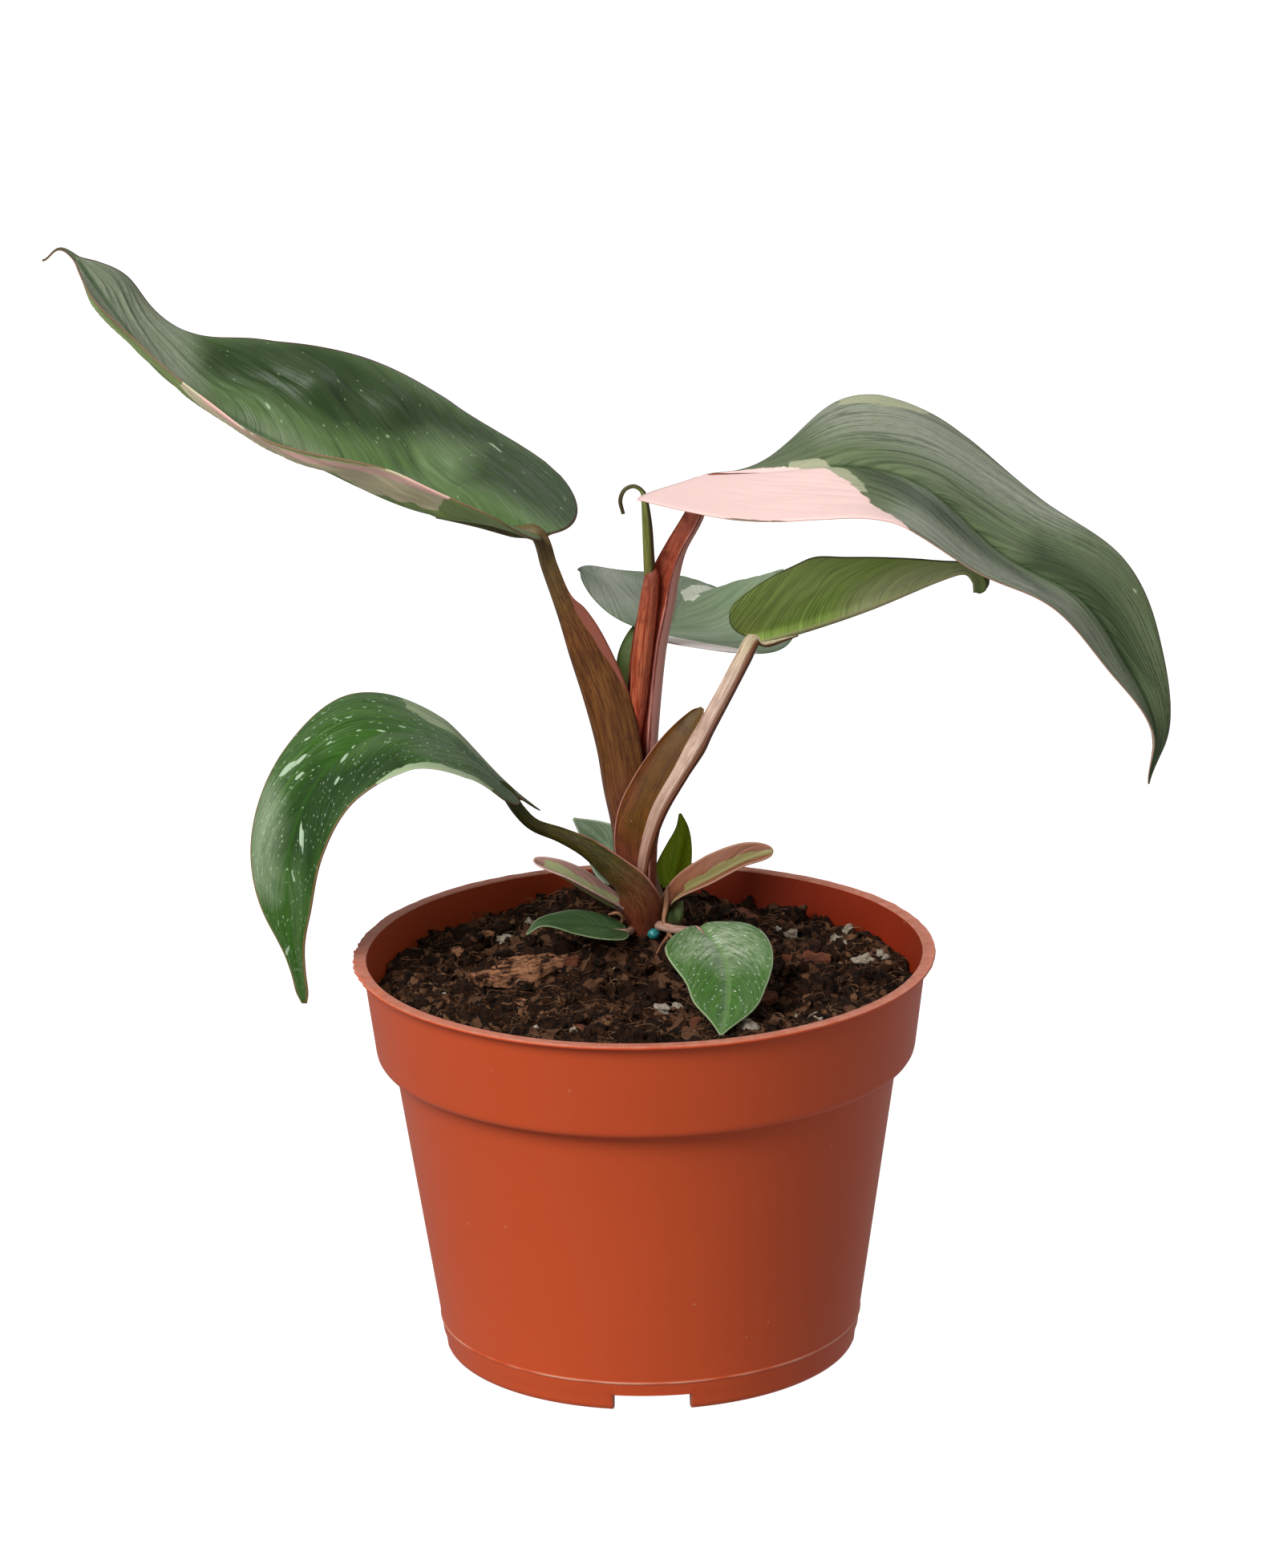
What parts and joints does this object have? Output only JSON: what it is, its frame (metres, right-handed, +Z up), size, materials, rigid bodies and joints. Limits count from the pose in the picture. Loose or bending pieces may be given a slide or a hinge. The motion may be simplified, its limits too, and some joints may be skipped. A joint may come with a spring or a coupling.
{
  "type": "potted philodendron",
  "caption": "Young climbing aroid with half-pink, dark-green pointed leaves on red-brown sheathed stalks, in a round terracotta-coloured nursery pot of potting mix.",
  "frame": {"origin": "on the ground, under the middle of the whole plant's and pot's bounding box; the pot's own axis is 6 mm to +X and 26.5 mm to -Y of it", "axes": "+Z up, -Z out of the pot's foot ring; +X to the right and +Y away, seen from the front, where the half-pink leaf is on the right"},
  "size_m": [0.2067, 0.1612, 0.2032],
  "materials": {
    "terracotta_plastic": "satin moulded polypropylene",
    "potting_mix": "crumbly, matt",
    "bark": "fibrous, matt",
    "prill_coat": "smooth resin coat",
    "deep_green_leaf": "waxy, soft gloss",
    "grey_green_leaf": "waxy, soft gloss",
    "mid_green_leaf": "waxy, soft gloss",
    "pale_green_leaf": "waxy, soft gloss",
    "lime_leaf": "waxy, soft gloss",
    "russet_stalk": "smooth, soft gloss",
    "red_stalk": "smooth, soft gloss",
    "olive_stalk": "smooth, soft gloss",
    "rosy_scale": "smooth, soft gloss"
  },
  "bodies": {
    "root": {"pot": "terracotta_plastic", "soil": "potting_mix", "bark_chip": "bark", "fertiliser_prill": "prill_coat", "stem": "olive_stalk", "leaf_left": "deep_green_leaf", "leaf_right": "grey_green_leaf", "leaf_middle": "mid_green_leaf", "leaf_back": "pale_green_leaf", "leaf_low": "deep_green_leaf", "petiole_left": "russet_stalk", "petiole_right": "red_stalk", "petiole_middle": "olive_stalk", "petiole_low": "olive_stalk", "petiole_back": "olive_stalk", "new_leaf": "olive_stalk", "leaf_small_front": "pale_green_leaf", "leaf_small_low": "mid_green_leaf", "leaf_small_back": "pale_green_leaf", "leaf_small_bright": "lime_leaf", "bud_scale_left": "rosy_scale", "bud_scale_right": "rosy_scale"}
  },
  "joints": []
}
